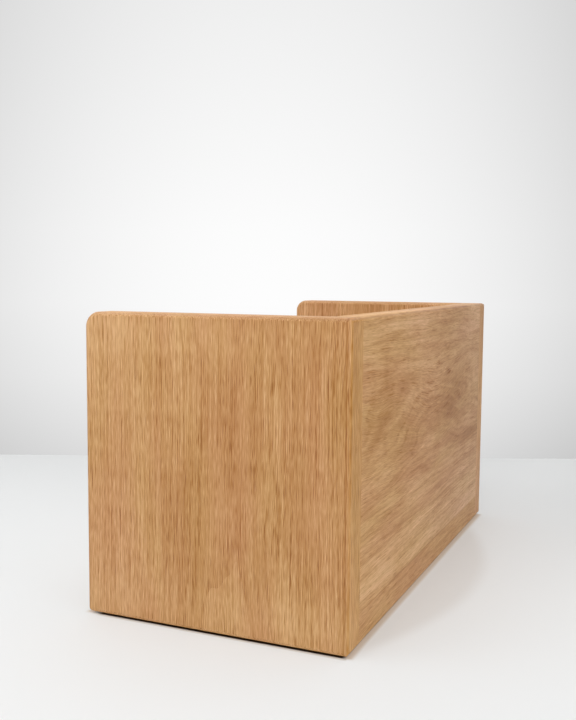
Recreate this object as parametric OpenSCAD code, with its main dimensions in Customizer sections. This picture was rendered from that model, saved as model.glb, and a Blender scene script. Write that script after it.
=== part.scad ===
// Open-topped oak box for a row of 12 inch records.
// Two full-height end panels hold the long boards between them: a high back panel, a low front lip
// and a bottom board. Hidden dowels join the boards, and four thin pads lift the box off its shelf.
// The length runs along X, the low front faces -Y, and the origin is on the shelf under the middle.

/* [Box] */
// Length over both end panels
box_length = 370; // [300:1:460]
// Width from the face of the front lip to the face of the back panel
box_width = 184; // [140:1:240]
// Height of the boards, without the pads
box_height = 200; // [150:1:260]

/* [Boards] */
// Thickness of each end panel
end_thickness = 20; // [16:0.5:26]
// Thickness of the back panel and of the front lip
side_thickness = 20; // [16:0.5:26]
// Thickness of the bottom board
base_thickness = 20; // [16:0.5:26]
// Height of the front lip above the bottom board
lip_height = 80; // [55:1:110]

/* [Edges] */
// Radius of each end panel's upper front corner, seen from the end
corner_radius = 10; // [6:0.5:20]
// Radius of the box's lower front edge, from end to end
foot_radius = 6; // [3:0.5:8]
// Radius of the other outside edges and of every top edge
edge_radius = 3; // [1:0.25:5]

/* [Dowels] */
// Diameter of each dowel
dowel_diameter = 8; // [6:0.5:10]
// Length of each dowel
dowel_length = 36; // [30:1:44]
// Gap between a dowel and the wall of its hole
dowel_clearance = 0.1; // [0.05:0.05:0.2]
// Free depth past each end of a dowel
dowel_end_gap = 1; // [0.5:0.25:2]
// Wood left behind a hole that is drilled into a board's face
hole_web = 6; // [4:0.5:7]
// Chamfer at both ends of a dowel
dowel_chamfer = 1; // [0.5:0.25:1.5]
// Flutes round each dowel
flute_count = 12; // [6:1:16]
// Depth of each V-shaped flute
flute_depth = 0.4; // [0.2:0.05:0.5]
// Dowels between an end panel and the back panel
back_end_dowels = 4; // [2:1:5]
// Dowels between an end panel and the front lip
lip_end_dowels = 2; // [2:1:3]
// Dowels between an end panel and the bottom board
base_end_dowels = 3; // [2:1:5]
// Dowels between the bottom board and each long board that stands on it
long_dowels = 5; // [3:1:7]
// Distance from the ends of an upright joint to its first dowel
upright_margin = 20; // [12:1:24]
// Distance from the box's front and back faces to the first dowel in the bottom board's ends
base_end_margin = 32; // [24:1:45]
// Distance from an end panel to the first upright dowel, past the end of the level dowels
long_margin = 46; // [45:1:60]

/* [Pads] */
// Diameter of each pad
pad_diameter = 12; // [8:0.5:14]
// Thickness of each pad
pad_thickness = 1.2; // [0.8:0.1:3]
// Radius of each pad's rims
pad_rim = 0.3; // [0.1:0.05:0.35]
// Distance from the box's front and back faces to the middle of each pad
pad_inset = 18; // [12:1:40]

/* [Hidden] */
$fn = 64;
inner_length = box_length - 2 * end_thickness;
front_y = -box_width / 2;
back_y = box_width / 2;
lip_middle_y = front_y + side_thickness / 2;
back_middle_y = back_y - side_thickness / 2;
lip_top = base_thickness + lip_height;
// Depth to which a dowel stands in the face of an end panel and of the bottom board
depth_in_end = end_thickness - hole_web - dowel_end_gap;
depth_in_base = base_thickness - hole_web - dowel_end_gap;
// Middle of the flat underside of an end panel
pad_x = (box_length - end_thickness - edge_radius) / 2;
pad_y = back_y - pad_inset;
// A cut starts this far outside the wood that it goes into
overshoot = 1;
oak_end = [0.76, 0.58, 0.39];
oak_side = [0.70, 0.55, 0.40];
oak_base = [0.66, 0.50, 0.36];
beech = [0.86, 0.72, 0.54];
pad_grey = [0.24, 0.23, 0.22];

// Places from low to high, with a margin at both ends.
function spread(low, high, count, margin) =
    [for (i = [0 : count - 1]) low + margin + i * (high - low - 2 * margin) / (count - 1)];

// What a round edge takes off a square corner at the origin.
module nick(radius) {
    difference() {
        translate([-overshoot, -overshoot])
            square(radius + overshoot);
        translate([radius, radius])
            circle(r = radius);
    }
}

// Rectangle from the origin whose corners have their own radii, 0 for a square corner, in the order
// lower left, lower right, upper right, upper left.
module rounded_rectangle(width, height, radii) {
    corners = [[0, 0], [width, 0], [width, height], [0, height]];
    difference() {
        square([width, height]);
        for (i = [0 : 3])
            if (radii[i] > 0)
                translate(corners[i])
                    rotate(90 * i)
                        nick(radii[i]);
    }
}

// Section in Y and Z, drawn along X from the low to the high end.
module along_x(low, high) {
    translate([low, 0, 0])
        rotate([90, 0, 90])
            linear_extrude(high - low)
                children();
}

// Section in X and Z, drawn along Y from the low to the high end.
module along_y(low, high) {
    translate([0, high, 0])
        rotate([90, 0, 0])
            linear_extrude(high - low)
                children();
}

// Section in X and Y, drawn along Z from the low to the high end.
module along_z(low, high) {
    translate([0, 0, low])
        linear_extrude(high - low)
            children();
}

module on_pads() {
    translate([0, 0, pad_thickness])
        children();
}

module left_or_right(is_left) {
    mirror([is_left ? 1 : 0, 0, 0])
        children();
}

// Dowel places of each joint. The joint's plane is the children's XY plane, and the children's +Z
// points into the board that takes the dowels in its edge.

module at_end_back_dowels() {
    for (z = spread(base_thickness, box_height, back_end_dowels, upright_margin))
        translate([inner_length / 2, back_middle_y, z])
            rotate([0, -90, 0])
                children();
}

module at_end_lip_dowels() {
    for (z = spread(base_thickness, lip_top, lip_end_dowels, upright_margin))
        translate([inner_length / 2, lip_middle_y, z])
            rotate([0, -90, 0])
                children();
}

module at_end_base_dowels() {
    for (y = spread(front_y, back_y, base_end_dowels, base_end_margin))
        translate([inner_length / 2, y, base_thickness / 2])
            rotate([0, -90, 0])
                children();
}

module at_long_dowels(y) {
    for (x = spread(-inner_length / 2, inner_length / 2, long_dowels, long_margin))
        translate([x, y, base_thickness])
            children();
}

// Fluted, chamfered dowel that stands in the face of one board by the given depth.
module dowel(depth_in_face) {
    radius = dowel_diameter / 2;
    translate([0, 0, -depth_in_face])
        intersection() {
            linear_extrude(dowel_length)
                difference() {
                    circle(r = radius);
                    for (i = [0 : flute_count - 1])
                        rotate(i * 360 / flute_count)
                            translate([radius, 0])
                                circle(r = flute_depth, $fn = 4);
                }
            rotate_extrude()
                polygon([
                    [0, 0],
                    [radius - dowel_chamfer, 0],
                    [radius, dowel_chamfer],
                    [radius, dowel_length - dowel_chamfer],
                    [radius - dowel_chamfer, dowel_length],
                    [0, dowel_length],
                ]);
        }
}

// Room for one dowel, drilled into both boards of its joint.
module dowel_hole(depth_in_face) {
    translate([0, 0, -depth_in_face - dowel_end_gap])
        cylinder(d = dowel_diameter + 2 * dowel_clearance, h = dowel_length + 2 * dowel_end_gap);
}

module end_panel_holes() {
    at_end_back_dowels()
        dowel_hole(depth_in_end);
    at_end_lip_dowels()
        dowel_hole(depth_in_end);
    at_end_base_dowels()
        dowel_hole(depth_in_end);
}

module both_end_panels_holes() {
    for (is_left = [false, true])
        left_or_right(is_left)
            end_panel_holes();
}

// Upper front corner of the right end panel, with both of its rims rounded.
module end_panel_corner() {
    translate([inner_length / 2, front_y + corner_radius, box_height - corner_radius])
        rotate([90, 0, 90])
            rotate([0, 0, 90])
                rotate_extrude(angle = 90)
                    rounded_rectangle(corner_radius, end_thickness, [0, edge_radius, edge_radius, 0]);
}

// Right end panel without its upper front corner. Its inner edges stay square where the long boards
// meet them, and are round above the front lip and in front of the back panel.
module end_panel_body() {
    lap_y = back_y - side_thickness;
    difference() {
        intersection() {
            along_x(inner_length / 2, box_length / 2)
                translate([front_y, 0])
                    rounded_rectangle(box_width, box_height, [foot_radius, edge_radius, edge_radius, 0]);
            union() {
                along_y(front_y, lap_y)
                    translate([inner_length / 2, 0])
                        rounded_rectangle(end_thickness, box_height, [0, edge_radius, edge_radius, edge_radius]);
                along_y(lap_y, back_y)
                    translate([inner_length / 2, 0])
                        rounded_rectangle(end_thickness, box_height, [0, edge_radius, edge_radius, 0]);
            }
            union() {
                along_z(0, lip_top)
                    translate([inner_length / 2, front_y])
                        rounded_rectangle(end_thickness, box_width, [0, edge_radius, edge_radius, 0]);
                along_z(lip_top, box_height)
                    translate([inner_length / 2, front_y])
                        rounded_rectangle(end_thickness, box_width, [edge_radius, edge_radius, edge_radius, 0]);
            }
        }
        translate([inner_length / 2 - overshoot, front_y - overshoot, box_height - corner_radius])
            cube([end_thickness + 2 * overshoot, corner_radius + overshoot, corner_radius + overshoot]);
    }
}

module end_panel(is_left) {
    color(oak_end)
        on_pads()
            left_or_right(is_left)
                difference() {
                    union() {
                        end_panel_body();
                        end_panel_corner();
                    }
                    end_panel_holes();
                }
}

// Long board that stands on the bottom board, with its two top edges rounded.
module standing_board(face_y, height) {
    along_x(-inner_length / 2, inner_length / 2)
        translate([face_y, base_thickness])
            rounded_rectangle(side_thickness, height, [0, 0, edge_radius, edge_radius]);
}

module back_panel() {
    color(oak_side)
        on_pads()
            difference() {
                standing_board(back_y - side_thickness, box_height - base_thickness);
                both_end_panels_holes();
                at_long_dowels(back_middle_y)
                    dowel_hole(depth_in_base);
            }
}

module front_lip() {
    color(oak_side)
        on_pads()
            difference() {
                standing_board(front_y, lip_height);
                both_end_panels_holes();
                at_long_dowels(lip_middle_y)
                    dowel_hole(depth_in_base);
            }
}

module bottom_board() {
    color(oak_base)
        on_pads()
            difference() {
                along_x(-inner_length / 2, inner_length / 2)
                    translate([front_y, 0])
                        rounded_rectangle(box_width, base_thickness, [foot_radius, edge_radius, 0, 0]);
                both_end_panels_holes();
                at_long_dowels(back_middle_y)
                    dowel_hole(depth_in_base);
                at_long_dowels(lip_middle_y)
                    dowel_hole(depth_in_base);
            }
}

module end_back_dowels(is_left) {
    color(beech)
        on_pads()
            left_or_right(is_left)
                at_end_back_dowels()
                    dowel(depth_in_end);
}

module end_lip_dowels(is_left) {
    color(beech)
        on_pads()
            left_or_right(is_left)
                at_end_lip_dowels()
                    dowel(depth_in_end);
}

module end_base_dowels(is_left) {
    color(beech)
        on_pads()
            left_or_right(is_left)
                at_end_base_dowels()
                    dowel(depth_in_end);
}

module long_board_dowels(y) {
    color(beech)
        on_pads()
            at_long_dowels(y)
                dowel(depth_in_base);
}

// Thin stick-on pad under an end panel.
module pad(x, y) {
    color(pad_grey)
        translate([x, y, 0])
            rotate_extrude()
                rounded_rectangle(pad_diameter / 2, pad_thickness, [0, pad_rim, pad_rim, 0]);
}

end_panel(false);  // end_panel_right
end_panel(true);  // end_panel_left
back_panel();
front_lip();
bottom_board();
end_back_dowels(false);  // dowels_right_back
end_back_dowels(true);  // dowels_left_back
end_lip_dowels(false);  // dowels_right_lip
end_lip_dowels(true);  // dowels_left_lip
end_base_dowels(false);  // dowels_right_base
end_base_dowels(true);  // dowels_left_base
long_board_dowels(back_middle_y);  // dowels_back_base
long_board_dowels(lip_middle_y);  // dowels_lip_base
pad(pad_x, -pad_y);  // pad_front_right
pad(-pad_x, -pad_y);  // pad_front_left
pad(pad_x, pad_y);  // pad_back_right
pad(-pad_x, pad_y);  // pad_back_left
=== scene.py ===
import math
from typing import NamedTuple

import bmesh
import bpy
from bpy.props import FloatProperty, FloatVectorProperty, PointerProperty
from mathutils import Matrix, Vector


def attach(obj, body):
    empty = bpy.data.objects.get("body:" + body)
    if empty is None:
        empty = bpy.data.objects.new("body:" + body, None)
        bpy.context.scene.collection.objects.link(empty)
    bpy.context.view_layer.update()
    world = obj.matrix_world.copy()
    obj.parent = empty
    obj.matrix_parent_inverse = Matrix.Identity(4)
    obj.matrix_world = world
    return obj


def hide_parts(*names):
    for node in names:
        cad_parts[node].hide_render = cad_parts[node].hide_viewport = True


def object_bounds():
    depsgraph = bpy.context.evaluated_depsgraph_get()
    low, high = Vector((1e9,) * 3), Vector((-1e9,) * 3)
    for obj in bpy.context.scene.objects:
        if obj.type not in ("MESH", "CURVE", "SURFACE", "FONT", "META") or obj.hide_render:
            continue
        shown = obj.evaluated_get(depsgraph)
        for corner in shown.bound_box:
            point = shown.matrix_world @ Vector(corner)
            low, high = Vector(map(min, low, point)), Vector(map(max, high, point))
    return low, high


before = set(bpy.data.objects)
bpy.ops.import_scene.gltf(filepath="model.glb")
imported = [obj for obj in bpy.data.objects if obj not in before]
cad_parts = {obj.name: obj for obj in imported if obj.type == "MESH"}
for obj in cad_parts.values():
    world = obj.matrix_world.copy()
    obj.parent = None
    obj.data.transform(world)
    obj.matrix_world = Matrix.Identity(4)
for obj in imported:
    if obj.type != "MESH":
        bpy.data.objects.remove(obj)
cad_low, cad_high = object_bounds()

# Looks of an open-topped oak record box: oiled oak boards, beech dowels in their joints, and thin pads.
# The box's length runs along X, its low front faces -Y and +Z is up. Lengths are in metres, except where
# a name ends in _mm or a comment says millimetres.

bl_info = {
    "name": "Oak record box",
    "version": (1, 0, 0),
    "blender": (4, 5, 0),
    "location": "3D View > Sidebar > Record Box",
    "description": "Boards, dowels and pads of an open oak record box, with a plain studio round it",
    "category": "Object",
}

BODY = "root"
MM = 0.001
EYE_POWER = 2.2  # power that turns a tone as the eye sees it into one of light
STEP_WEIGHTS = (0.88, 1.03, 1.16)  # make up for the pale shine, which dulls the darkest channel most
NOISE_MIDDLE = 0.5

DOWEL_NODES = tuple(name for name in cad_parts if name.startswith("dowels_"))
PAD_NODES = tuple(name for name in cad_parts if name.startswith("pad_"))

X = Vector((1, 0, 0))
Y = Vector((0, 1, 0))
Z = Vector((0, 0, 1))


# Settings that a user would change


class BoardSettings(bpy.types.PropertyGroup):
    """Shape of the boards' edges."""

    arris: FloatProperty(
        name="Arris",
        description="Width of the tiny chamfer that is sanded on every sharp edge",
        default=0.25 * MM,
        min=0.05 * MM,
        max=1 * MM,
        unit="LENGTH",
        precision=5,
    )
    sharp_angle: FloatProperty(
        name="Sharp angle",
        description="Least angle between two faces whose edge is sharp",
        default=math.radians(60),
        unit="ROTATION",
    )
    shade_angle: FloatProperty(
        name="Shading angle",
        description="Greatest angle between two faces that shade as one round surface",
        default=math.radians(25),
        unit="ROTATION",
    )


class OakSettings(bpy.types.PropertyGroup):
    """Colour, grain and finish of the oiled oak."""

    colour: FloatVectorProperty(
        name="Oak",
        description="Mean colour of the oiled oak where it is rosy",
        default=(0.525, 0.256, 0.096),
        subtype="COLOR",
        min=0,
        max=1,
    )
    straw: FloatVectorProperty(
        name="Straw oak",
        description="Mean colour of the oiled oak where it is the colour of straw",
        default=(0.52, 0.270, 0.090),
        subtype="COLOR",
        min=0,
        max=1,
    )
    ring_width_mm: FloatProperty(
        name="Ring width",
        description="Mean width of a year's growth, in millimetres",
        default=2.3,
        min=0.5,
        max=8,
    )
    pore_pitch_mm: FloatProperty(
        name="Pore pitch",
        description="Mean distance between neighbouring pores across the grain, in millimetres",
        default=0.4,
        min=0.2,
        max=2,
    )
    pore_length_mm: FloatProperty(
        name="Pore length",
        description="Mean distance between neighbouring pores along the grain, in millimetres",
        default=32.0,
        min=2,
        max=60,
    )
    lift: FloatProperty(
        name="Lift",
        description="How much lighter the oak between its pores and early wood is than its mean colour",
        default=0.046,
    )
    # Painted shade: the round top edges lose colour and the round lower ones gain as much, by which way
    # they face
    painted_edge_dullness: FloatProperty(
        name="Edge dullness",
        description="How much colour the round top edges have lost, where hands rub them",
        default=0.12,
        min=0,
        max=1,
    )
    pore_depth: FloatProperty(
        name="Pore depth",
        description="Depth of the open pores",
        default=0.03 * MM,
        unit="LENGTH",
        precision=5,
    )
    roughness: FloatProperty(
        name="Roughness",
        description="Roughness of the oiled surface between the pores",
        default=0.52,
        subtype="FACTOR",
        min=0,
        max=1,
    )


class BeechSettings(bpy.types.PropertyGroup):
    """Colour and finish of the raw beech dowels."""

    colour: FloatVectorProperty(
        name="Beech",
        description="Mean colour of the raw beech",
        default=(0.71, 0.48, 0.25),
        subtype="COLOR",
        min=0,
        max=1,
    )
    roughness: FloatProperty(
        name="Roughness",
        description="Roughness of the raw beech",
        default=0.68,
        subtype="FACTOR",
        min=0,
        max=1,
    )


class PadSettings(bpy.types.PropertyGroup):
    """Colour and finish of the rubber pads."""

    colour: FloatVectorProperty(
        name="Rubber",
        description="Mean colour of the pads",
        default=(0.047, 0.043, 0.040),
        subtype="COLOR",
        min=0,
        max=1,
    )
    roughness: FloatProperty(
        name="Roughness",
        description="Roughness of the pads",
        default=0.75,
        subtype="FACTOR",
        min=0,
        max=1,
    )


class StudioSettings(bpy.types.PropertyGroup):
    """Camera, lamps, floor and wall."""

    camera_place: FloatVectorProperty(
        name="Camera",
        description="Where the camera stands",
        default=(0.6744, 0.2657, 0.2242),
        subtype="TRANSLATION",
        precision=4,
    )
    camera_yaw: FloatProperty(
        name="Yaw",
        description="Turn of the camera from looking along -X towards -Y",
        default=math.radians(23.549),
        unit="ROTATION",
    )
    camera_pitch: FloatProperty(
        name="Pitch",
        description="How far the camera looks down",
        default=math.radians(5.186),
        unit="ROTATION",
    )
    camera_roll: FloatProperty(
        name="Roll",
        description="Turn of the camera about its own line of sight",
        default=math.radians(0.422),
        unit="ROTATION",
    )
    lens_mm: FloatProperty(
        name="Lens",
        description="Focal length in millimetres, for a long side of 36 mm",
        default=45.63,
    )
    floor_colour: FloatVectorProperty(
        name="Floor",
        description="Colour of the table top",
        default=(0.775, 0.793, 0.797),
        subtype="COLOR",
        min=0,
        max=1,
    )
    # Painted bounce light: the warm colour of the glow close beside the box
    floor_bounce_tint: FloatVectorProperty(
        name="Floor blush",
        description="Colour that the box throws on the table top close beside it",
        default=(0.55, 0.41, 0.30),
        subtype="COLOR",
        min=0,
        max=1,
    )
    floor_glow: FloatProperty(
        name="Floor glow",
        description="Share of the table top's tone that is its own pale glow",
        default=0.38,
        subtype="FACTOR",
        min=0,
        max=1,
    )
    wall_distance: FloatProperty(
        name="Wall distance",
        description="Level distance from the camera to the wall behind the box",
        default=1.129,
        unit="LENGTH",
    )
    daylight: FloatProperty(
        name="Daylight",
        description="Strength of the even light from all round",
        default=0.45,
        min=0,
    )
    lamp_level: FloatProperty(
        name="Lamps",
        description="Strength of all the lamps together, where 1 is the usual level",
        default=1.0,
        min=0,
    )


SETTINGS = {
    "record_box_boards": BoardSettings,
    "record_box_oak": OakSettings,
    "record_box_beech": BeechSettings,
    "record_box_pads": PadSettings,
    "record_box_studio": StudioSettings,
}


# Shader wiring


class Wires:
    """Adds nodes to a shader tree, each fed by values or by other nodes' outputs."""

    def __init__(self, tree):
        self.tree = tree

    def node(self, kind, inputs=None, **settings):
        made = self.tree.nodes.new(kind)
        for name, value in settings.items():
            setattr(made, name, value)
        for key, value in (inputs or {}).items():
            self.feed(made.inputs[key], value)
        return made

    def feed(self, socket, value):
        if isinstance(value, bpy.types.NodeSocket):
            self.tree.links.new(value, socket)
        else:
            socket.default_value = value

    def maths(self, operation, first, second=0.0, third=0.0):
        inputs = {0: first, 1: second, 2: third}
        return self.node("ShaderNodeMath", inputs, operation=operation).outputs[0]

    def folded(self, operation, values):
        """What is left when the operation has joined the values one by one."""
        result = values[0]
        for value in values[1:]:
            result = self.maths(operation, result, value)
        return result

    def total(self, *values):
        return self.folded("ADD", values)

    def product(self, *values):
        return self.folded("MULTIPLY", values)

    def greatest(self, *values):
        return self.folded("MAXIMUM", values)

    def scaled(self, value, factor):
        return self.maths("MULTIPLY", value, factor)

    def square(self, value):
        return self.maths("MULTIPLY", value, value)

    def weighed(self, values, weights):
        """The named values, each scaled by its own weight."""
        return [self.scaled(values[name], weight) for name, weight in weights.items()]

    def vector(self, x, y, z):
        return self.node("ShaderNodeCombineXYZ", {0: x, 1: y, 2: z}).outputs[0]

    def parts(self, vector):
        return self.node("ShaderNodeSeparateXYZ", {0: vector}).outputs

    def dot(self, vector, axis):
        made = self.node("ShaderNodeVectorMath", {0: vector, 1: axis}, operation="DOT_PRODUCT")
        return made.outputs["Value"]

    def enlarged(self, vector, factor):
        inputs = {0: vector, "Scale": factor}
        return self.node("ShaderNodeVectorMath", inputs, operation="SCALE").outputs[0]

    def less(self, vector, other):
        return self.node("ShaderNodeVectorMath", {0: vector, 1: other}, operation="SUBTRACT").outputs[0]

    def ramp(self, value, start, end, low=0.0, high=1.0):
        """Smooth rise from low to high while the value goes from start to end."""
        inputs = {"Value": value, "From Min": start, "From Max": end, "To Min": low, "To Max": high}
        return self.node("ShaderNodeMapRange", inputs, interpolation_type="SMOOTHSTEP").outputs[0]

    def noise(self, place, detail=0.0, roughness=0.5):
        """Noise round zero, and the same as a colour of three unlike noises round the middle."""
        inputs = {"Vector": place, "Scale": 1.0, "Detail": detail, "Roughness": roughness}
        made = self.node("ShaderNodeTexNoise", inputs, normalize=True)
        return self.maths("SUBTRACT", made.outputs["Fac"], NOISE_MIDDLE), made.outputs["Color"]

    def colour_ramp(self, value, stops):
        """Colour that goes through the stops, which are places from 0 to 1 with their colours."""
        ramp = self.node("ShaderNodeValToRGB", {"Fac": value})
        elements = ramp.color_ramp.elements
        for place, colour in stops[1:-1]:
            elements.new(place).color = colour
        for element, (place, colour) in ((elements[0], stops[0]), (elements[-1], stops[-1])):
            element.position = place
            element.color = colour
        return ramp.outputs["Color"]

    def mixed(self, share, first, second):
        """The first colour where the share is 0, the second where it is 1."""
        made = self.node("ShaderNodeMix", {"Factor": share}, data_type="RGBA")
        colours = [socket for socket in made.inputs if socket.type == "RGBA"]
        self.feed(colours[0], first)
        self.feed(colours[1], second)
        return next(socket for socket in made.outputs if socket.type == "RGBA")

    def random(self, value):
        """A number from 0 to 1 that differs for each value."""
        return self.node("ShaderNodeTexWhiteNoise", {"W": value}, noise_dimensions="1D").outputs["Value"]


def new_material(name):
    """Material with an empty tree and its wires."""
    material = bpy.data.materials.new(name)
    material.use_nodes = True
    material.node_tree.nodes.clear()
    return material, Wires(material.node_tree)


def tone_shifted(colour, step):
    """A linear colour made lighter or darker by about an equal step in each channel as the eye sees it."""
    seen = [channel ** (1 / EYE_POWER) + step * weight for channel, weight in zip(colour, STEP_WEIGHTS)]
    return [max(channel, 0.0) ** EYE_POWER for channel in seen] + [1.0]


def tone_ramp(wires, tone, colour, darkest=-0.36, lightest=0.18, steps=10):
    """Colour for a tone, where 0 is the given colour and the ends are equal steps darker and lighter."""
    place = wires.node("ShaderNodeMapRange", {"Value": tone, "From Min": darkest, "From Max": lightest})
    shares = [i / (steps - 1) for i in range(steps)]
    stops = [(share, tone_shifted(colour, darkest + share * (lightest - darkest))) for share in shares]
    return wires.colour_ramp(place.outputs[0], stops)


# Oak

# How much each layer of the oak's pattern darkens or lightens it. The fine ones are weaker on a calm
# board, and the patchy ones are stronger on a board with a swirl.
FINE_TONES = {"pores": -0.19, "short_pores": -0.23, "grit": 0.36, "lines": 0.35}
PATCHY_TONES = {"fleck": 0.17, "bands": 0.37}
BROAD_TONES = {"early": -0.020, "year": 0.015, "streak": 0.02, "cloud": 0.20}

RELIEF = {"pores": -1.0, "short_pores": -0.7, "lines": 0.3, "early": -0.12}  # height of each layer
ROUGHER = {"pores": 0.16, "lines": 0.14}  # how much rougher each layer makes the surface
OAK_IOR = 1.48

STAVE_SHIFT = 31.7  # how far apart in the tree the two staves of a board were cut, in millimetres
GRAIN_SWING = 2.0  # how far the fibres swing where the rings swell up by one millimetre
GRAIN_WAVER = 3.0  # how far the fibres waver for each millimetre of the board's waver
RING_WAVER = 4.0  # and how far the rings do

RING_STRAY = 2.4  # how many ring widths the rings stray from an even spacing
RING_STRAY_PACE = 0.16  # how fast that changes from ring to ring
RING_STRAY_PLACE = (3.7, 1.9)  # where in the noise it is read
RING_BAND_DRIFT = 0.1  # how fast the bands in the rings change across the board
EARLY_WOOD_END = (0.05, 0.55)  # shares of a year's growth over which the porous early wood ends

PORE_DENSITY = (0.45, 0.90)  # how thick the pores lie in late wood and in early wood
PORE_RIM = (0.15, 0.42)  # distances from a pore's middle over which it ends, where 1 is the pitch
PORE_FADE = 0.5  # range of density over which a pore grows to its full strength
SHORT_PORE_LENGTH = 0.4  # share of the long pores' length
SHORT_PORE_PITCH = 0.84  # share of the long pores' pitch
SHORT_PORE_SEED = 5

ROUNDED = (0.97, 0.80)  # how square the surface faces to X, Y or Z on a flat face and on a round edge
ROSY = (-0.25, 0.25)  # range of the blush over which the oak turns from straw to rosy


class Layer(NamedTuple):
    """One run of noise in the oak's pattern. Lengths are in millimetres."""

    length: float  # of its features along the grain
    width: float  # of its features across the grain
    seed: float  # added to the board's own
    detail: float  # how many finer runs it has within it
    roughness: float = 0.8  # how strong those are


SHAKE = Layer(140, 34, 0, 2.0, 0.5)
BANDS = Layer(150, 7, 13, 3.0)
GRAIN_LAYERS = {
    "lines": Layer(100, 0.44, 20, 1.0),
    "grit": Layer(9, 0.38, 10, 1.0),
    "fleck": Layer(24, 2.4, 4, 2.0),
    "streak": Layer(420, 10, 2, 5.0),
    "cloud": Layer(190, 45, 3, 2.0),
    "blush": Layer(110, 30, 6, 1.0),
}


class Mark(NamedTuple):
    """A soft oval spot on a board's face. Places and reaches are in millimetres."""

    along: float
    across: float
    reach_along: float
    reach_across: float
    amount: float
    tilt: float = 0.0  # millimetres that it swings across the board for each one along it


class Plank(NamedTuple):
    """How one board is cut from its tree. Places and lengths on it are in millimetres."""

    corner: Vector  # where its places start, in metres in the box's frame
    along: Vector  # direction of the grain
    across: Vector  # direction of its width
    depth: Vector  # direction into the wood from the face that shows most
    seed: float  # sets this board's own run of noise
    pith_across: float  # place of the tree's heart
    pith_depth: float
    waist: float  # place along the grain at which the rings draw together
    bow: float  # radius of the rings' bow along the grain, or 0 for straight rings
    waver: float  # how far the rings waver
    glue_line: float  # place across the width of the joint between its two staves
    stave_tone: float  # how much lighter the stave beyond the glue line is
    fine: float = 1.0  # strength of its fine grain
    patchy: float = 0.4  # strength of its soft patches
    tone: float = 0.0  # how much lighter the whole board is
    # painted shade on its round top edges and painted light on its round lower ones, by which way they face
    painted_edge_shade: float = 0.02  # how much darker its round top edges are, and lighter its round lower ones
    strength: tuple = (1.0, 1.0)  # strength of its colour before and after it fades
    fading: tuple = (0, 370)  # places between which it fades
    fading_axis: int = 0  # 0 where it fades along the grain, 1 across it
    swells: tuple = ()  # places where the rings swell up, as towards a knot
    stains: tuple = ()  # places that are lighter or darker


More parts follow.
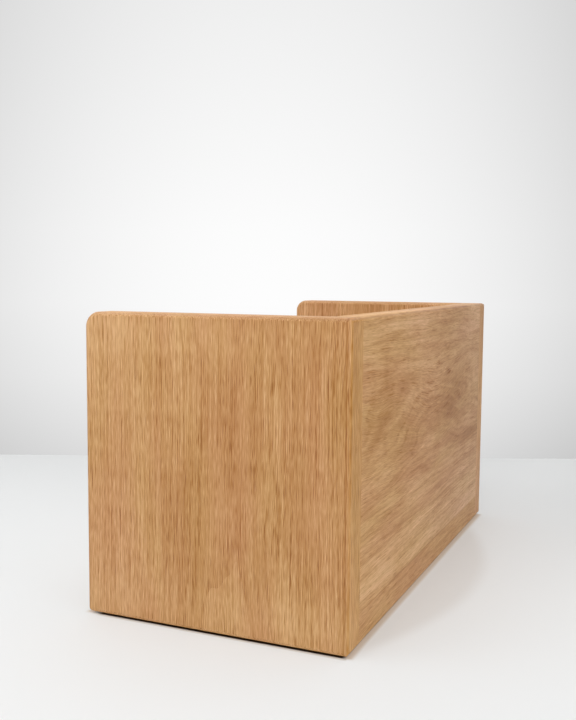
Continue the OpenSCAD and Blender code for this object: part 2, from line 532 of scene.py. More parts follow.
def planks():
    """The five boards, by node."""
    low, high = Vector(cad_low), Vector(cad_high)
    right_back_top = Vector((high.x, high.y, high.z))
    left_back_top = Vector((low.x, high.y, high.z))
    right_front_low = Vector((high.x, low.y, low.z))
    return {
        "end_panel_right": Plank(
            right_back_top, -Z, -Y, -X, seed=0, pith_across=78, pith_depth=78, waist=90, bow=2400,
            waver=2.2, glue_line=127, stave_tone=0.005, patchy=0.25, tone=-0.015,
            painted_edge_shade=0.06, strength=(1.11, 1.0), fading=(0.1, 1.6), fading_axis=1,
            stains=(
                Mark(100, 80, 60, 90, -0.035),
                Mark(40, 20, 60, 34, -0.030),
                Mark(110, 104, 70, 11, -0.020),
                Mark(40, 80, 32, 9, 0.020),
                Mark(72, 46, 34, 1.6, 0.040),
                Mark(120, 44, 34, 1.6, -0.045, tilt=-0.17),
                Mark(140, 90, 36, 2.5, 0.016, tilt=0.2),
                Mark(140, 66, 30, 2.0, -0.020, tilt=-0.3),
                Mark(178, 30, 26, 50, 0.015),
                # Painted light at the top front corner, where the light falls from above
                Mark(12, 145, 16, 70, 0.040),
                Mark(80, 172, 50, 12, -0.025),
                # Painted bounce light from the floor along the foot
                Mark(188, 90, 20, 120, 0.020),
                # Painted shade in a thin line just inside the rounded back edge, and a painted highlight on
                # that edge itself
                Mark(100, 2.7, 400, 0.7, -0.110),
                Mark(100, -0.5, 400, 1.0, 0.060),
            ),
        ),
        "end_panel_left": Plank(
            left_back_top, -Z, -Y, X, seed=11, pith_across=110, pith_depth=95, waist=140, bow=2700,
            waver=2.2, glue_line=66, stave_tone=-0.015,
        ),
        "back_panel": Plank(
            right_back_top, -X, -Z, -Y, seed=23, pith_across=60, pith_depth=70, waist=190, bow=0,
            waver=3.0, glue_line=151, stave_tone=0.040, fine=0.64, patchy=1.0, painted_edge_shade=0.12,
            strength=(1.07, 0.94),
            swells=(Mark(190, 80, 95, 34, 11), Mark(52, 66, 30, 14, 3)),
            stains=(
                Mark(262, 90, 120, 32, -0.050),
                Mark(10, 90, 90, 200, 0.045),
                Mark(345, 106, 50, 24, -0.045),
                Mark(60, 166, 90, 13, 0.065),
                Mark(100, 180.2, 300, 1.0, -0.090),
                Mark(300, 42, 60, 16, 0.030),
                Mark(230, 134, 22, 9, 0.030),
                Mark(312, 136, 24, 9, 0.025),
                Mark(80, 8, 100, 16, 0.030),
                Mark(55, 73, 30, 6, -0.055, tilt=-0.42),
                Mark(95, 34, 40, 3, -0.035, tilt=-0.03),
                Mark(95, 70, 38, 3.5, 0.045, tilt=-0.4),
                Mark(165, 46, 34, 3.5, 0.040, tilt=-0.2),
                Mark(165, 57, 24, 4, -0.035, tilt=-0.05),
                Mark(215, 24, 45, 3, 0.035),
                Mark(215, 12, 14, 4, -0.040),
                Mark(220, 29, 6, 2.5, -0.050),
                Mark(202, 42, 3.2, 1.5, -0.160),
                Mark(248, 80, 18, 10, -0.045),
                Mark(305, 112, 40, 6, -0.040),
                Mark(168, 118, 22, 2, -0.050, tilt=0.25),
                Mark(140, 130, 34, 9, 0.020),
                Mark(104, 145, 10, 4, -0.055, tilt=-0.3),
                Mark(228, 149, 40, 1.4, -0.060),
            ),
        ),
        "front_lip": Plank(
            right_front_low, -X, Z, Y, seed=37, pith_across=150, pith_depth=60, waist=150, bow=5000,
            waver=2.2, glue_line=200, stave_tone=0.0, fine=0.7, patchy=0.6,
        ),
        "bottom_board": Plank(
            right_front_low, -X, Y, Z, seed=53, pith_across=60, pith_depth=90, waist=120, bow=6000,
            waver=2.2, glue_line=96, stave_tone=0.008, fine=0.6, patchy=0.7, painted_edge_shade=0.10,
            strength=(1.06, 1.0), stains=(Mark(20, 190, 120, 60, 0.035),),
        ),
    }


def oval(wires, along, across, mark):
    """1 in the middle of a mark, falling smoothly to 0 round it."""
    off = wires.maths("SUBTRACT", along, mark.along)
    line = wires.maths("MULTIPLY_ADD", off, mark.tilt, mark.across)
    u = wires.scaled(off, 1 / mark.reach_along)
    v = wires.scaled(wires.maths("SUBTRACT", across, line), 1 / mark.reach_across)
    return wires.maths("EXPONENT", wires.scaled(wires.total(wires.square(u), wires.square(v)), -1.0))


def plank_places(wires, plank):
    """Places along, across and into a plank in millimetres, and 1 on the stave beyond its glue line."""
    here = wires.node("ShaderNodeTexCoord").outputs["Object"]
    inside = wires.less(here, plank.corner)
    axes = (plank.along, plank.across, plank.depth)
    along, across, depth = (wires.dot(inside, axis / MM) for axis in axes)
    stave = wires.maths("GREATER_THAN", across, plank.glue_line)
    return along, across, depth, stave


def stretched(wires, places, length_mm, width_mm, seed):
    """Place for a noise whose features are that long along the grain and that wide across it."""
    along, across, depth = places
    return wires.vector(
        wires.maths("MULTIPLY_ADD", along, 1 / length_mm, seed),
        wires.scaled(across, 1 / width_mm),
        wires.scaled(depth, 1 / width_mm),
    )


def layer_noise(wires, plank, places, layer):
    """A layer's noise round zero, and the same as a colour."""
    place = stretched(wires, places, layer.length, layer.width, plank.seed + layer.seed)
    return wires.noise(place, layer.detail, layer.roughness)


def swollen(wires, along, across, swells):
    """How far the swells lift the rings at a place, in millimetres."""
    lifts = [wires.scaled(oval(wires, along, across, swell), swell.amount) for swell in swells]
    return wires.total(0.0, *lifts)


def ring_field(wires, plank, places, shake, swell):
    """Distance from the tree's heart in millimetres, with the rings' bow, swells and waver."""
    along, across, depth = places
    waver = RING_WAVER * plank.waver
    off_across = wires.maths("SUBTRACT", across, plank.pith_across)
    off_depth = wires.maths("SUBTRACT", depth, plank.pith_depth)
    u = wires.maths("MULTIPLY_ADD", shake[0], waver, off_across)
    v = wires.maths("MULTIPLY_ADD", shake[1], waver, off_depth)
    radius = wires.maths("SQRT", wires.total(wires.square(u), wires.square(v)))
    radius = wires.total(radius, swell)
    if plank.bow:
        off_waist = wires.maths("SUBTRACT", along, plank.waist)
        bowed = wires.scaled(wires.square(off_waist), 1 / (2 * plank.bow))
        radius = wires.maths("SUBTRACT", radius, bowed)
    return radius


def bent_grain(wires, plank, places, shake, swell, stave):
    """Places for the fibres, which swing round the swells and waver a little."""
    along, across, depth = places
    swung = wires.maths("MULTIPLY_ADD", swell, -GRAIN_SWING, across)
    swung = wires.maths("MULTIPLY_ADD", shake[2], GRAIN_WAVER * plank.waver, swung)
    return along, wires.maths("MULTIPLY_ADD", stave, STAVE_SHIFT, swung), depth


def growth_rings(wires, oak, radius):
    """Share of porous early wood from 0 to 1, and each year's own tone round zero."""
    pace = wires.scaled(radius, RING_STRAY_PACE / oak.ring_width_mm)
    uneven, _ = wires.noise(wires.vector(pace, *RING_STRAY_PLACE), detail=1.0)
    years = wires.maths("MULTIPLY_ADD", radius, 1 / oak.ring_width_mm, wires.scaled(uneven, RING_STRAY))
    early = wires.ramp(wires.maths("FRACT", years), *EARLY_WOOD_END, 1.0, 0.0)
    year = wires.maths("SUBTRACT", wires.random(wires.maths("FLOOR", years)), NOISE_MIDDLE)
    return early, year


def pores(wires, places, length_mm, pitch_mm, seed, density):
    """Open pores, from 0 to 1: spindles that lie along the grain, thick where the density is high."""
    place = stretched(wires, places, length_mm, pitch_mm, seed)
    cells = wires.node("ShaderNodeTexVoronoi", {"Vector": place, "Scale": 1.0, "Randomness": 1.0})
    spindle = wires.ramp(cells.outputs["Distance"], *PORE_RIM, 1.0, 0.0)
    chance = wires.parts(cells.outputs["Color"])[0]
    strength = wires.ramp(wires.maths("SUBTRACT", density, chance), 0.0, PORE_FADE)
    return wires.product(spindle, strength)


def oak_layers(wires, plank, oak, places, stave):
    """The parts of the oak's pattern, each about one unit strong."""
    _, shake = layer_noise(wires, plank, places, SHAKE)
    shake = wires.parts(wires.less(shake, (NOISE_MIDDLE, NOISE_MIDDLE, NOISE_MIDDLE)))
    swell = swollen(wires, places[0], places[1], plank.swells)
    radius = ring_field(wires, plank, places, shake, swell)
    early, year = growth_rings(wires, oak, radius)
    grain = bent_grain(wires, plank, places, shake, swell, stave)
    layers = {name: layer_noise(wires, plank, grain, layer)[0] for name, layer in GRAIN_LAYERS.items()}

    in_rings = places[0], radius, wires.scaled(places[1], RING_BAND_DRIFT)
    layers["bands"] = layer_noise(wires, plank, in_rings, BANDS)[0]
    layers["early"] = early
    layers["year"] = year

    density = wires.ramp(early, 0.0, 1.0, *PORE_DENSITY)
    length, pitch = oak.pore_length_mm, oak.pore_pitch_mm
    short = SHORT_PORE_LENGTH * length, SHORT_PORE_PITCH * pitch, plank.seed + SHORT_PORE_SEED
    layers["pores"] = pores(wires, grain, length, pitch, plank.seed, density)
    layers["short_pores"] = pores(wires, grain, *short, density)
    return layers


def oak_tone(wires, plank, oak, layers, places, stave):
    """How much lighter or darker each spot of a board is than the oak's own colour."""
    fine = wires.scaled(wires.total(*wires.weighed(layers, FINE_TONES)), plank.fine)
    patchy = wires.scaled(wires.total(*wires.weighed(layers, PATCHY_TONES)), plank.patchy)
    broad = wires.total(*wires.weighed(layers, BROAD_TONES))
    stave_tone = wires.scaled(stave, plank.stave_tone)
    tone = wires.total(fine, patchy, broad, stave_tone, plank.tone + oak.lift * plank.fine)
    for stain in plank.stains:
        tone = wires.maths("MULTIPLY_ADD", oval(wires, places[0], places[1], stain), stain.amount, tone)
    return tone


def surface(wires, colour, roughness, height, relief, ior=1.5):
    """Shader and output of a surface with fine relief."""
    bump = wires.node("ShaderNodeBump", {"Height": height, "Distance": relief, "Strength": 1.0})
    look = {"Base Color": colour, "Roughness": roughness, "Normal": bump.outputs["Normal"], "IOR": ior}
    shader = wires.node("ShaderNodeBsdfPrincipled", look)
    wires.node("ShaderNodeOutputMaterial", {"Surface": shader.outputs["BSDF"]})


def rounded_edges(wires):
    """1 on the boards' rounded edges and 0 on their flat faces, and how far the surface faces up."""
    facing = wires.parts(wires.node("ShaderNodeTexCoord").outputs["Normal"])
    sizes = [wires.maths("ABSOLUTE", part) for part in facing]
    return wires.ramp(wires.greatest(*sizes), *ROUNDED), facing[2]


def oak_material(name, plank, oak):
    """Oiled oak, solid all through, so that faces, edges and ends show one and the same tree."""
    material, wires = new_material(name)
    *places, stave = plank_places(wires, plank)
    layers = oak_layers(wires, plank, oak, places, stave)
    tone = oak_tone(wires, plank, oak, layers, places, stave)
    rounded, upward = rounded_edges(wires)
    # Painted shade on the round top edges and painted light on the round lower ones, by which way they face
    top_edge = wires.product(rounded, upward)
    tone = wires.maths("MULTIPLY_ADD", top_edge, -plank.painted_edge_shade, tone)
    rosy = wires.ramp(layers["blush"], *ROSY)
    colour = wires.mixed(rosy, tone_ramp(wires, tone, oak.straw), tone_ramp(wires, tone, oak.colour))
    strength = wires.ramp(places[plank.fading_axis], *plank.fading, *plank.strength)
    # Painted shade: the round top edges are duller and the round lower ones richer in colour
    dull = wires.maths("MULTIPLY_ADD", top_edge, -oak.painted_edge_dullness, strength)
    colour = wires.node("ShaderNodeHueSaturation", {"Saturation": dull, "Color": colour}).outputs["Color"]
    height = wires.total(*wires.weighed(layers, RELIEF))
    roughness = wires.total(*wires.weighed(layers, ROUGHER), oak.roughness)
    surface(wires, colour, roughness, height, oak.pore_depth, OAK_IOR)
    return material


# Beech

BEECH_TONES = {"fibre": 0.12, "fleck": -0.10}
BEECH_FIBRES_PER_MM = 1.6
BEECH_FLECK_RIM = (0.12, 0.22)  # distances from a fleck's middle over which it ends, in millimetres
BEECH_ROUGHER = 0.15
BEECH_RELIEF = 0.05 * MM


def beech_material(name, beech):
    """Raw beech: pale and even, with small dark flecks."""
    material, wires = new_material(name)
    here = wires.node("ShaderNodeTexCoord").outputs["Object"]
    in_mm = wires.enlarged(here, 1 / MM)
    fibre, _ = wires.noise(wires.enlarged(in_mm, BEECH_FIBRES_PER_MM), detail=4.0, roughness=0.6)
    cells = wires.node("ShaderNodeTexVoronoi", {"Vector": in_mm, "Scale": 1.0})
    fleck = wires.ramp(cells.outputs["Distance"], *BEECH_FLECK_RIM, 1.0, 0.0)
    tone = wires.total(*wires.weighed({"fibre": fibre, "fleck": fleck}, BEECH_TONES))
    roughness = wires.maths("MULTIPLY_ADD", fibre, BEECH_ROUGHER, beech.roughness)
    surface(wires, tone_ramp(wires, tone, beech.colour), roughness, fibre, BEECH_RELIEF)
    return material


# Rubber

RUBBER_TONES = {"grain": 0.05, "cloud": 0.06}
RUBBER_GRAINS_PER_M = 2600.0
RUBBER_CLOUDS_PER_M = 240.0
RUBBER_ROUGHER = 0.2
RUBBER_RELIEF = 0.04 * MM


def rubber_material(name, pads):
    """Matt rubber with a fine moulded grain."""
    material, wires = new_material(name)
    here = wires.node("ShaderNodeTexCoord").outputs["Object"]
    grain, _ = wires.noise(wires.enlarged(here, RUBBER_GRAINS_PER_M), detail=3.0)
    cloud, _ = wires.noise(wires.enlarged(here, RUBBER_CLOUDS_PER_M), detail=2.0)
    tone = wires.total(*wires.weighed({"grain": grain, "cloud": cloud}, RUBBER_TONES))
    roughness = wires.maths("MULTIPLY_ADD", cloud, RUBBER_ROUGHER, pads.roughness)
    surface(wires, tone_ramp(wires, tone, pads.colour), roughness, grain, RUBBER_RELIEF)
    return material


# Boards

SAME_PLACE = 0.001 * MM  # points that lie closer than this are one point
SAME_PLANE = math.radians(0.05)  # faces whose angle is less than this are one face
BOARD_OUTLINE = 80 * MM  # shorter than the outline of any flat face of a board, longer than a dowel hole's


def is_board_edge(edge, boards):
    """Whether an edge is a sharp edge of a board itself, and not of a dowel hole in it."""
    if len(edge.link_faces) != 2 or edge.calc_face_angle() < boards.sharp_angle:
        return False
    return all(face.calc_perimeter() > BOARD_OUTLINE for face in edge.link_faces)


def eased_board(name, node, boards):
    """Copy of a CAD board whose sharp edges have a tiny chamfer, with clean shading."""
    mesh = bpy.data.meshes.new(name)
    shape = bmesh.new()
    shape.from_mesh(node.data)
    bmesh.ops.remove_doubles(shape, verts=shape.verts, dist=SAME_PLACE)
    bmesh.ops.dissolve_limit(shape, angle_limit=SAME_PLANE, verts=shape.verts, edges=shape.edges)
    sharp = [edge for edge in shape.edges if is_board_edge(edge, boards)]
    bmesh.ops.bevel(
        shape, geom=sharp, offset=boards.arris, segments=2, profile=0.5, affect="EDGES", loop_slide=False
    )
    bmesh.ops.dissolve_degenerate(shape, dist=SAME_PLACE, edges=shape.edges)
    shape.to_mesh(mesh)
    shape.free()
    mesh.set_sharp_from_angle(angle=boards.shade_angle)
    board = bpy.data.objects.new(name, mesh)
    bpy.context.scene.collection.objects.link(board)
    weighted = board.modifiers.new("Even shading", "WEIGHTED_NORMAL")
    weighted.keep_sharp = True
    weighted.weight = 100
    return board


def make_board(context, node_name):
    """Visible board in the place of its CAD node."""
    scene = context.scene
    board = eased_board("oak_" + node_name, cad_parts[node_name], scene.record_box_boards)
    oak = oak_material("Oak, " + node_name, planks()[node_name], scene.record_box_oak)
    board.data.materials.clear()
    board.data.materials.append(oak)
    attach(board, BODY)
    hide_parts(node_name)


def dress(node_name, material):
    """Gives a CAD node that stays its material."""
    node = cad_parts[node_name]
    node.data.materials.clear()
    node.data.materials.append(material)


# Studio

FLOOR_REACH = 6.0
FLOOR_ROUGHNESS = 0.6
FLOOR_SPECULAR = 0.2
FLOOR_GLOW = (0.9, 0.9, 0.9, 1.0)
# Painted shade: the dark colour of the table top under the box, where the gap lies in shadow
PAINTED_GAP_SHADE = (0.05, 0.025, 0.010, 1.0)

# Distances past the box's ends, back or front over which the table top's tones change: painted shade under
# the box, and the painted light and painted bounce light of its glow beside it. They are below 0 under the
# box.
GAP_BY_END = (-2.4 * MM, -1.2 * MM)
GAP_BY_BACK = (-5 * MM, -1 * MM)
GAP_BY_FRONT = (-10 * MM, -5 * MM)
PALE_BY_END = (-2.6 * MM, 0.6 * MM)
PALE_BY_SIDE = (-4 * MM, -1 * MM)
# Painted bounce light: where the glow turns warm close beside the box's ends and long sides
WARM_BY_END = (-1 * MM, 2 * MM)
WARM_BY_BACK = (-2 * MM, 0)
BOUNCE_BY_SIDE = (0, 4.5 * MM)
BOUNCE_BY_END = (-4 * MM, 1 * MM)
BOUNCE_SHARE = 0.35  # how much more of the tone is glow in the blush beside the long sides

# The soft shade that lies beside the back panel, widest near its middle
SHADE_MIDDLE = 20 * MM
SHADE_HALF_LENGTH = 155 * MM
SHADE_REACH = 40 * MM
SHADE_EDGE = (-8 * MM, 8 * MM)
SHADE_START = (-2 * MM, 0)
SHADE_DEPTH = 0.10
SHADE_WARMTH = 0.30

# Painted shade, where the table top grows darker along the box and then to its back side
FAR_FLOOR = (-300 * MM, 100 * MM)
FAR_FLOOR_BACK = (100 * MM, 220 * MM)
FAR_FLOOR_DIM = 0.16

WALL_REACH = 5.0
WALL_HEIGHT = 3.0
WALL_PAINT = (0.75, 0.75, 0.75, 1.0)
SKY_TONE = 0.84  # tone of the daylight where it is seen

# Tones of the wall from the floor up, each at its share of a height in metres
WALL_TONES_HEIGHT = 0.56
WALL_TONES = ((0.0, 0.775), (0.08, 0.845), (0.18, 0.92), (0.34, 0.985), (0.50, 0.975), (1.0, 0.865))
WALL_POOL_ASIDE = -0.0225  # how far the pool of light lies to the right of the middle, in metres
WALL_POOL_FALL = 1.6  # how fast it fades to the sides, per square metre
WALL_FAR_TONE = 0.6  # what is left of it far to the sides


class Lamp(NamedTuple):
    """A square soft lamp that is aimed at the middle of the box."""

    name: str
    place: Vector
    size: float
    watts: float


LAMPS = (
    Lamp("top_lamp", Vector((0.1, 0.0, 1.2)), 1.2, 5.05),
    Lamp("near_top_lamp", Vector((0.5, -0.2, 0.8)), 0.6, 1.92),
    Lamp("near_lamp", Vector((1.5, 0.3, 0.9)), 1.0, 6.27),
    Lamp("back_lamp", Vector((0.3, 1.5, 0.9)), 1.2, 3.74),
    Lamp("front_lamp", Vector((0.2, -1.5, 0.9)), 1.2, 2.5),
    Lamp("far_lamp", Vector((-1.0, 0.6, 1.2)), 1.0, 2.5),
)


def line_of_sight(studio):
    """Right, up and forward directions of the camera."""
    yaw, pitch, roll = studio.camera_yaw, studio.camera_pitch, studio.camera_roll
    level = Vector((-math.cos(yaw), -math.sin(yaw), 0))
    forward = level * math.cos(pitch) - Z * math.sin(pitch)
    right = forward.cross(Z).normalized()
    up = right.cross(forward)
    rolled_right = right * math.cos(roll) + up * math.sin(roll)
    return rolled_right, rolled_right.cross(forward), forward


def make_camera(studio):
    data = bpy.data.cameras.new("camera")
    data.lens = studio.lens_mm
    camera = bpy.data.objects.new("camera", data)
    bpy.context.scene.collection.objects.link(camera)
    right, up, forward = line_of_sight(studio)
    turn = Matrix((right, up, -forward)).transposed().to_4x4()
    camera.matrix_world = Matrix.Translation(studio.camera_place) @ turn
    bpy.context.scene.camera = camera


def make_sheet(name, corners, material):
    """Flat four-cornered stage piece."""
    mesh = bpy.data.meshes.new(name)
    mesh.from_pydata(corners, [], [(0, 1, 2, 3)])
    mesh.materials.append(material)
    sheet = bpy.data.objects.new(name, mesh)
    bpy.context.scene.collection.objects.link(sheet)


def past_box(wires):
    """Distances past the box's ends, past its back and past its front, below 0 under the box."""
    here = wires.node("ShaderNodeTexCoord").outputs["Object"]
    x, y, _ = wires.parts(here)
    past_end = wires.maths("SUBTRACT", wires.maths("ABSOLUTE", x), cad_high[0])
    past_back = wires.maths("SUBTRACT", y, cad_high[1])
    past_front = wires.maths("SUBTRACT", cad_low[1], y)
    return past_end, past_back, past_front


def floor_shade(wires, past_back):
    """Share of the soft shade beside the back panel from 0 to 1, and how far off a place is from 0 to 2."""
    x, y, _ = wires.parts(wires.node("ShaderNodeTexCoord").outputs["Object"])
    off_middle = wires.scaled(wires.maths("SUBTRACT", x, SHADE_MIDDLE), 1 / SHADE_HALF_LENGTH)
    reach = wires.maths("MULTIPLY_ADD", wires.square(off_middle), -SHADE_REACH, SHADE_REACH)
    shade = wires.ramp(wires.maths("SUBTRACT", past_back, reach), *SHADE_EDGE, 1.0, 0.0)
    shade = wires.product(shade, wires.ramp(past_back, *SHADE_START))
    far = wires.ramp(x, *FAR_FLOOR, 1.0, 0.0)
    far_back = wires.product(far, wires.ramp(y, *FAR_FLOOR_BACK))
    return shade, wires.total(far, far_back)


def floor_material(studio):
    """Pale table top, with painted shade in the gap under the box.

    Part of its tone is its own glow, so that it stays pale beside the box. The glow is warm where the box
    would throw its colour on it, and lower in the soft shade and far off.
    """
    material, wires = new_material("Floor")
    past_end, past_back, past_front = past_box(wires)
    past_side = wires.greatest(past_back, past_front)
    inside_front = wires.ramp(past_front, *GAP_BY_FRONT, 1.0, 0.0)
    # Painted shade: the table top is dark under the box, fading out close to its edges
    gap = wires.product(
        wires.ramp(past_end, *GAP_BY_END, 1.0, 0.0),
        wires.ramp(past_back, *GAP_BY_BACK, 1.0, 0.0),
        inside_front,
    )
    look = {
        "Base Color": wires.mixed(gap, (*studio.floor_colour, 1.0), PAINTED_GAP_SHADE),
        "Roughness": FLOOR_ROUGHNESS,
        "Specular IOR Level": FLOOR_SPECULAR,
    }
    paint = wires.node("ShaderNodeBsdfPrincipled", look)

    # Painted bounce light: warm glow beside the long sides and near the ends
    blush = wires.product(
        wires.ramp(past_side, *BOUNCE_BY_SIDE, 1.0, 0.0), wires.ramp(past_end, *BOUNCE_BY_END, 1.0, 0.0)
    )
    warm_end = wires.product(
        wires.ramp(past_end, *WARM_BY_END, 1.0, 0.0),
        wires.ramp(past_back, *WARM_BY_BACK, 1.0, 0.0),
        inside_front,
    )
    shade, far = floor_shade(wires, past_back)
    warm = wires.greatest(blush, warm_end, wires.scaled(shade, SHADE_WARMTH))
    dim = wires.maths("MULTIPLY_ADD", shade, SHADE_DEPTH, wires.scaled(far, FAR_FLOOR_DIM))
    glow_look = {
        "Color": wires.mixed(warm, FLOOR_GLOW, (*studio.floor_bounce_tint, 1.0)),
        "Strength": wires.maths("SUBTRACT", 1.0, dim),
    }
    glow = wires.node("ShaderNodeEmission", glow_look)

    # Painted light: the glow lifts the box's shadow on the table top beside the box, more so in the painted
    # bounce light
    beside = wires.greatest(wires.ramp(past_end, *PALE_BY_END), wires.ramp(past_side, *PALE_BY_SIDE))
    most = wires.maths("MULTIPLY_ADD", blush, BOUNCE_SHARE, studio.floor_glow)
    share = wires.product(seen_directly(wires), beside, most)
    shader = wires.node("ShaderNodeMixShader", {0: share, 1: paint.outputs[0], 2: glow.outputs[0]})
    wires.node("ShaderNodeOutputMaterial", {"Surface": shader.outputs[0]})
    return material


def make_floor(studio):
    turns = ((-1, -1), (1, -1), (1, 1), (-1, 1))
    corners = [(x * FLOOR_REACH, y * FLOOR_REACH, 0) for x, y in turns]
    make_sheet("floor", corners, floor_material(studio))


def seen_directly(wires):
    """1 for rays from the eye and for mirrored and clear views of the background."""
    path = wires.node("ShaderNodeLightPath").outputs
    return wires.greatest(path["Is Camera Ray"], path["Is Glossy Ray"], path["Is Transmission Ray"])


def wall_material(studio):
    """Pale wall with a soft pool of light, a little darker near the floor, seen only from its front."""
    material, wires = new_material("Wall")
    here = wires.node("ShaderNodeTexCoord").outputs["Object"]
    height = wires.parts(here)[2]
    stops = [(place, (tone, tone, tone, 1.0)) for place, tone in WALL_TONES]
    upward = wires.colour_ramp(wires.scaled(height, 1 / WALL_TONES_HEIGHT), stops)
    sideways, foot = wall_line(studio)
    aside = wires.dot(wires.less(here, foot + sideways * WALL_POOL_ASIDE), sideways)
    fall = wires.scaled(wires.square(aside), WALL_POOL_FALL)
    strength = wires.greatest(wires.maths("SUBTRACT", 1.0, fall), WALL_FAR_TONE)
    glow = wires.node("ShaderNodeEmission", {"Color": upward, "Strength": strength})
    paint = wires.node("ShaderNodeBsdfDiffuse", {"Color": WALL_PAINT})
    front = wires.node(
        "ShaderNodeMixShader", {0: seen_directly(wires), 1: paint.outputs[0], 2: glow.outputs[0]}
    )
    clear = wires.node("ShaderNodeBsdfTransparent")
    behind = wires.node("ShaderNodeNewGeometry").outputs["Backfacing"]
    either = wires.node("ShaderNodeMixShader", {0: behind, 1: front.outputs[0], 2: clear.outputs[0]})
    wires.node("ShaderNodeOutputMaterial", {"Surface": either.outputs[0]})
    return material


def wall_line(studio):
    """Direction to the right along the wall, and its foot straight ahead of the camera."""
    yaw = studio.camera_yaw
    away = Vector((-math.cos(yaw), -math.sin(yaw), 0))
    foot = Vector((studio.camera_place[0], studio.camera_place[1], 0)) + away * studio.wall_distance
    return away.cross(Z), foot


def make_wall(studio):
    """Wall square to the camera's level line of sight."""
    sideways, foot = wall_line(studio)
    corners = [foot - sideways * WALL_REACH, foot + sideways * WALL_REACH]
    corners += [corner + Z * WALL_HEIGHT for corner in reversed(corners)]
    make_sheet("wall", corners, wall_material(studio))


def make_world(studio):
    """Even daylight from all round, seen as a pale grey."""
    world = bpy.data.worlds.new("Daylight")
    world.use_nodes = True
    world.node_tree.nodes.clear()
    wires = Wires(world.node_tree)
    more = SKY_TONE - studio.daylight
    strength = wires.maths("MULTIPLY_ADD", seen_directly(wires), more, studio.daylight)
    light = wires.node("ShaderNodeBackground", {"Color": (1.0, 1.0, 1.0, 1.0), "Strength": strength})
    wires.node("ShaderNodeOutputWorld", {"Surface": light.outputs[0]})
    bpy.context.scene.world = world


def make_lamp(lamp, target, level):
    data = bpy.data.lights.new(lamp.name, "AREA")
    data.shape = "SQUARE"
    data.size = lamp.size
    data.energy = lamp.watts * level
    made = bpy.data.objects.new(lamp.name, data)
    bpy.context.scene.collection.objects.link(made)
    made.location = lamp.place
    made.rotation_mode = "QUATERNION"
    made.rotation_quaternion = (target - lamp.place).to_track_quat("-Z", "Y")


# Operators


class RECORD_BOX_OT_studio(bpy.types.Operator):
    """Make the camera, the lamps, the floor and the wall"""

    bl_idname = "record_box.studio"
    bl_label = "Studio"
    bl_options = {"REGISTER", "UNDO"}

    def execute(self, context):
        studio = context.scene.record_box_studio
        make_camera(studio)
        make_floor(studio)
        make_wall(studio)
        make_world(studio)
        middle = Vector((0, 0, cad_high.z / 2))
        for lamp in LAMPS:
            make_lamp(lamp, middle, studio.lamp_level)
        context.scene.view_settings.view_transform = "Standard"
        return {"FINISHED"}


class RECORD_BOX_OT_end_panels(bpy.types.Operator):
    """Make the two end panels, with upright grain"""

    bl_idname = "record_box.end_panels"
    bl_label = "End panels"
    bl_options = {"REGISTER", "UNDO"}

    def execute(self, context):
        make_board(context, "end_panel_right")
        make_board(context, "end_panel_left")
        return {"FINISHED"}


class RECORD_BOX_OT_back_panel(bpy.types.Operator):
    """Make the high back panel, with level grain"""

    bl_idname = "record_box.back_panel"
    bl_label = "Back panel"
    bl_options = {"REGISTER", "UNDO"}

    def execute(self, context):
        make_board(context, "back_panel")
        return {"FINISHED"}


class RECORD_BOX_OT_front_lip(bpy.types.Operator):
    """Make the low front lip"""

    bl_idname = "record_box.front_lip"
    bl_label = "Front lip"
    bl_options = {"REGISTER", "UNDO"}

    def execute(self, context):
        make_board(context, "front_lip")
        return {"FINISHED"}


class RECORD_BOX_OT_bottom_board(bpy.types.Operator):
    """Make the bottom board"""

    bl_idname = "record_box.bottom_board"
    bl_label = "Bottom board"
    bl_options = {"REGISTER", "UNDO"}

    def execute(self, context):
        make_board(context, "bottom_board")
        return {"FINISHED"}


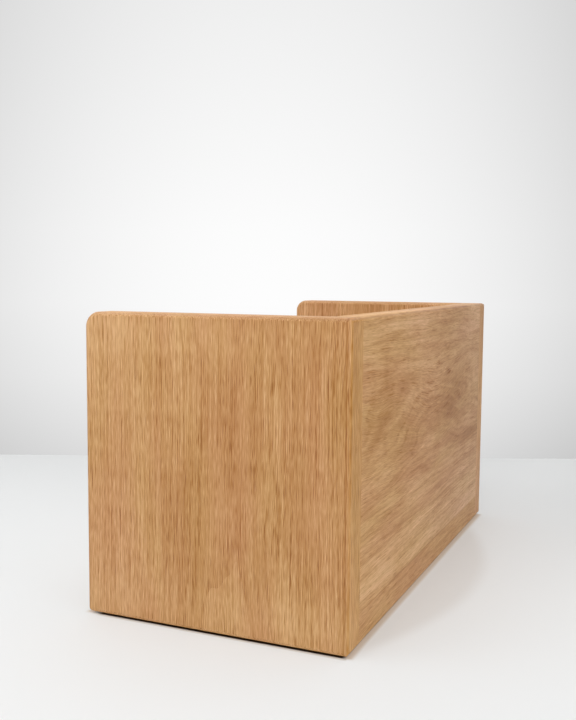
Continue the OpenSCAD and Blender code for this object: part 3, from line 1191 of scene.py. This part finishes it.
class RECORD_BOX_OT_dowels(bpy.types.Operator):
    """Give the dowels their raw beech"""

    bl_idname = "record_box.dowels"
    bl_label = "Dowels"
    bl_options = {"REGISTER", "UNDO"}

    def execute(self, context):
        beech = beech_material("Beech, dowels", context.scene.record_box_beech)
        for name in DOWEL_NODES:
            dress(name, beech)
        return {"FINISHED"}


class RECORD_BOX_OT_pads(bpy.types.Operator):
    """Give the pads their rubber"""

    bl_idname = "record_box.pads"
    bl_label = "Pads"
    bl_options = {"REGISTER", "UNDO"}

    def execute(self, context):
        rubber = rubber_material("Rubber, pads", context.scene.record_box_pads)
        for name in PAD_NODES:
            dress(name, rubber)
        return {"FINISHED"}


OPERATORS = (
    RECORD_BOX_OT_studio,
    RECORD_BOX_OT_end_panels,
    RECORD_BOX_OT_back_panel,
    RECORD_BOX_OT_front_lip,
    RECORD_BOX_OT_bottom_board,
    RECORD_BOX_OT_dowels,
    RECORD_BOX_OT_pads,
)


class RECORD_BOX_PT_panel(bpy.types.Panel):
    """Lists the box's pieces and their settings"""

    bl_idname = "RECORD_BOX_PT_panel"
    bl_label = "Record Box"
    bl_space_type = "VIEW_3D"
    bl_region_type = "UI"
    bl_category = "Record Box"

    def draw(self, context):
        layout = self.layout
        for operator in OPERATORS:
            layout.operator(operator.bl_idname)
        for name, kind in SETTINGS.items():
            box = layout.box()
            settings = getattr(context.scene, name)
            for field in kind.__annotations__:
                box.prop(settings, field)


def register():
    for kind in (*SETTINGS.values(), *OPERATORS, RECORD_BOX_PT_panel):
        bpy.utils.register_class(kind)
    for name, kind in SETTINGS.items():
        setattr(bpy.types.Scene, name, PointerProperty(type=kind))


def unregister():
    for name in SETTINGS:
        delattr(bpy.types.Scene, name)
    for kind in reversed((*SETTINGS.values(), *OPERATORS, RECORD_BOX_PT_panel)):
        bpy.utils.unregister_class(kind)


def main():
    register()
    bpy.ops.record_box.studio()
    bpy.ops.record_box.end_panels()
    bpy.ops.record_box.back_panel()
    bpy.ops.record_box.front_lip()
    bpy.ops.record_box.bottom_board()
    bpy.ops.record_box.dowels()
    bpy.ops.record_box.pads()


if __name__ == "__main__":
    main()
